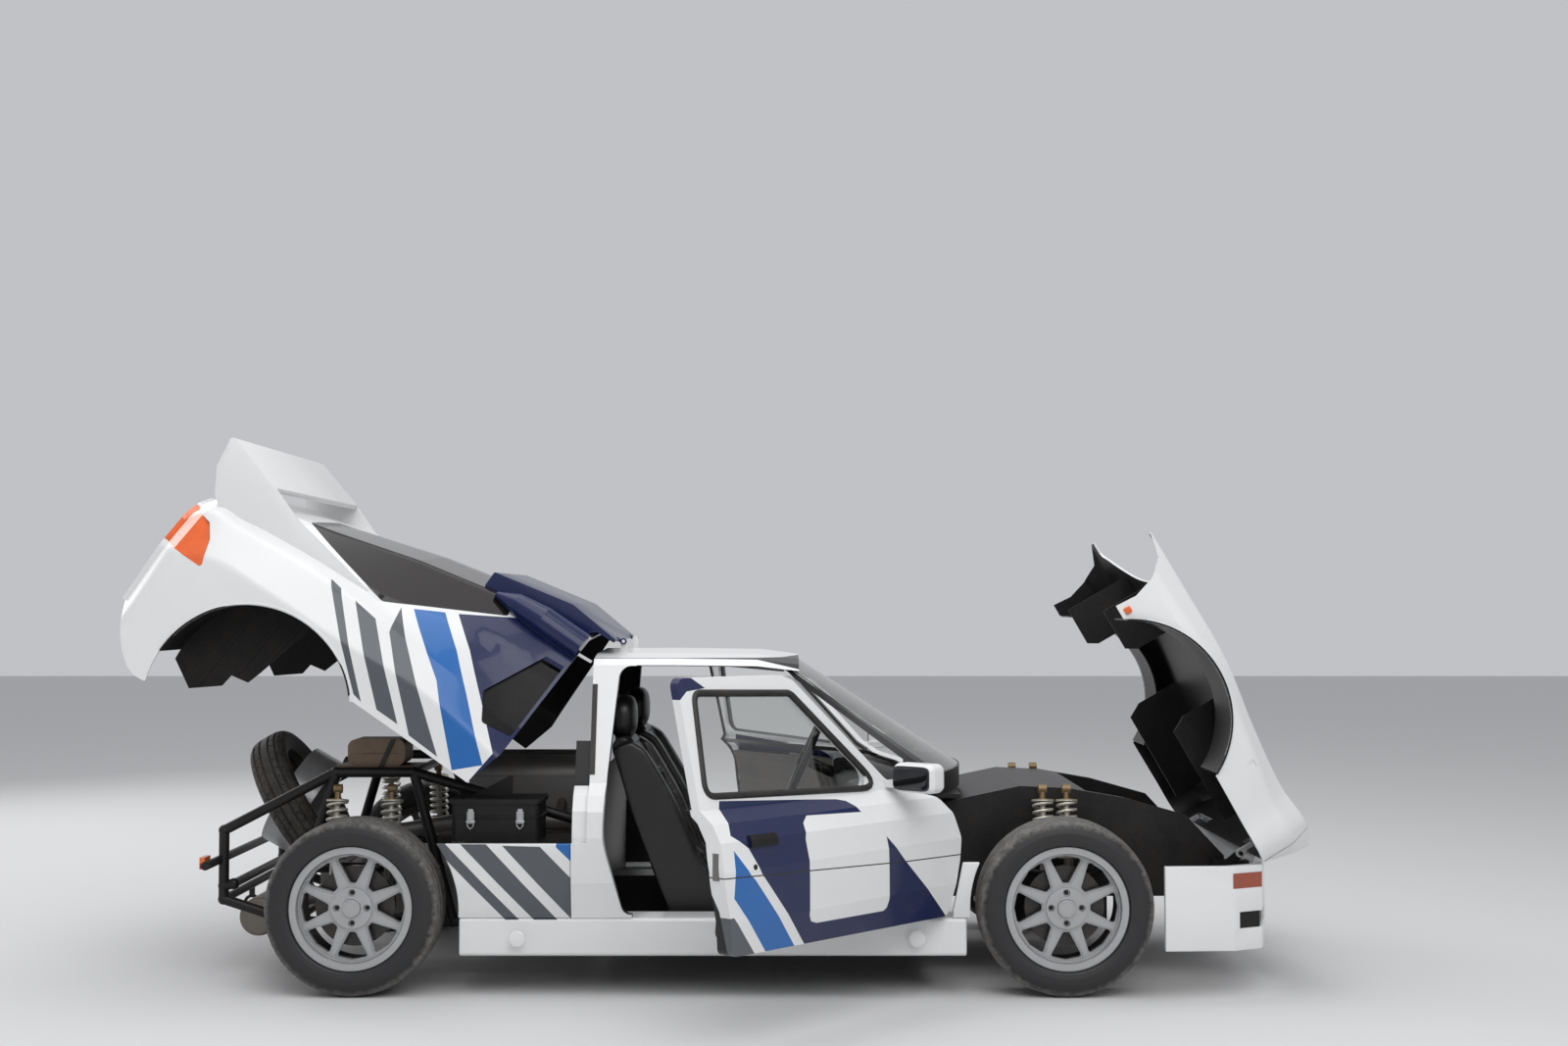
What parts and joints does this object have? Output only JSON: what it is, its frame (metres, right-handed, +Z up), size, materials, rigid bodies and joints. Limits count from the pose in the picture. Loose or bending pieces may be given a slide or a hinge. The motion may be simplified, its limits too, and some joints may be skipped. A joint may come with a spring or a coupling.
{
  "type": "rally car",
  "caption": "Mid-engined two-seat rally coupe with raised front and rear clamshells, open doors, star-spoked alloy wheels and a tail spoiler.",
  "frame": {"origin": "on the ground in the centre plane, below the middle of the car with its clamshells and doors open", "axes": "+X towards the nose, +Y towards the car's left, +Z up"},
  "size_m": [4.3265, 3.5702, 1.9891],
  "materials": {
    "white_paint": "gloss",
    "navy_paint": "gloss",
    "glass": "clear",
    "tinted_glass": "tinted",
    "black_plastic": "moulded",
    "black_steel": "satin",
    "spring_steel": "painted",
    "engine_metal": "cast",
    "heat_shield_metal": "dull",
    "silencer_steel": "sooty",
    "seat_leather": "grained",
    "door_card": "grained",
    "amber_lens": "lens",
    "clear_lens": "lens",
    "alloy": "painted silver",
    "tyre": "moulded"
  },
  "bodies": {
    "chassis": {"cabin_shell": "white_paint", "cabin_tub": "black_steel", "cabin_rear_window": "tinted_glass", "sills": "white_paint", "side_panels": "white_paint", "windscreen": "glass", "scuttle": "black_plastic", "dashboard": "black_plastic", "seats": "seat_leather", "front_bumper": "white_paint", "front_lamps": "amber_lens", "front_box": "black_steel", "wishbones": "black_steel", "coil_overs": "spring_steel", "rear_uprights": "black_steel", "engine": "engine_metal", "rear_frame": "black_steel", "air_box": "black_plastic", "heat_shield": "heat_shield_metal", "silencer": "silencer_steel", "chassis_lamps": "amber_lens", "spare_tyre": "tyre", "spare_rim": "alloy", "tow_eyes": "black_steel", "bay_ledges": "black_plastic"},
    "front_clamshell": {"front_clamshell_skin": "white_paint", "front_clamshell_liners": "black_plastic", "front_clamshell_lamps": "clear_lens", "front_clamshell_grille": "black_plastic", "front_clamshell_repeaters": "amber_lens"},
    "rear_clamshell": {"rear_clamshell_skin": "white_paint", "rear_clamshell_liners": "black_plastic", "rear_clamshell_windows": "tinted_glass", "rear_clamshell_lamps": "amber_lens", "rear_clamshell_spoiler": "white_paint", "rear_clamshell_scoop": "navy_paint", "rear_clamshell_cheeks": "white_paint", "rear_clamshell_intakes": "black_plastic"},
    "door_right": {"door_right_shell": "white_paint", "door_right_glass": "glass", "door_right_trim": "door_card", "door_right_mirror": "white_paint", "door_right_handle": "black_plastic"},
    "door_left": {"door_left_shell": "white_paint", "door_left_glass": "glass", "door_left_trim": "door_card", "door_left_mirror": "white_paint", "door_left_handle": "black_plastic"},
    "knuckle_right": {"knuckle_right": "black_steel"},
    "knuckle_left": {"knuckle_left": "black_steel"},
    "wheel_front_right": {"rim_front_right": "alloy", "tyre_front_right": "tyre"},
    "wheel_front_left": {"rim_front_left": "alloy", "tyre_front_left": "tyre"},
    "wheel_rear_right": {"rim_rear_right": "alloy", "tyre_rear_right": "tyre"},
    "wheel_rear_left": {"rim_rear_left": "alloy", "tyre_rear_left": "tyre"},
    "steering_wheel": {"steering_wheel": "black_plastic"}
  },
  "joints": [
    {"name": "front_clamshell_hinge", "type": "hinge", "parent": "chassis", "child": "front_clamshell", "pos_m": [1.9, 0, 0.465], "axis": [0, -1, 0], "range_deg": [0, 60]},
    {"name": "rear_clamshell_hinge", "type": "hinge", "parent": "chassis", "child": "rear_clamshell", "pos_m": [-0.4, 0, 1.245], "axis": [0, -1, 0], "range_deg": [0, 35.5]},
    {"name": "door_right_hinge", "type": "hinge", "parent": "chassis", "child": "door_right", "pos_m": [0.812, -0.83, 0.52], "axis": [0, 0, -1], "range_deg": [0, 50]},
    {"name": "door_left_hinge", "type": "hinge", "parent": "chassis", "child": "door_left", "pos_m": [0.812, 0.83, 0.52], "axis": [0, 0, 1], "range_deg": [0, 50]},
    {"name": "steer_right", "type": "hinge", "parent": "chassis", "child": "knuckle_right", "pos_m": [1.21, -0.721, 0.312], "axis": [0, 0, 1], "range_deg": [-26, 26]},
    {"name": "steer_left", "type": "hinge", "parent": "chassis", "child": "knuckle_left", "pos_m": [1.21, 0.721, 0.312], "axis": [0, 0, 1], "range_deg": [-26, 26]},
    {"name": "wheel_front_right_spin", "type": "hinge", "parent": "knuckle_right", "child": "wheel_front_right", "pos_m": [1.21, -0.751, 0.312], "axis": [0, 1, 0], "continuous": true},
    {"name": "wheel_front_left_spin", "type": "hinge", "parent": "knuckle_left", "child": "wheel_front_left", "pos_m": [1.21, 0.751, 0.312], "axis": [0, 1, 0], "continuous": true},
    {"name": "wheel_rear_right_spin", "type": "hinge", "parent": "chassis", "child": "wheel_rear_right", "pos_m": [-1.32, -0.7485, 0.312], "axis": [0, 1, 0], "continuous": true},
    {"name": "wheel_rear_left_spin", "type": "hinge", "parent": "chassis", "child": "wheel_rear_left", "pos_m": [-1.32, 0.7485, 0.312], "axis": [0, 1, 0], "continuous": true},
    {"name": "steering_wheel_turn", "type": "hinge", "parent": "chassis", "child": "steering_wheel", "pos_m": [0.29, 0.35, 0.745], "axis": [-0.9135, 0, 0.4067], "range_deg": [-364, 364]}
  ],
  "couplings": [
    {"joint": "steer_left", "follows": "steer_right", "ratio": 1},
    {"joint": "steering_wheel_turn", "follows": "steer_right", "ratio": 14}
  ]
}
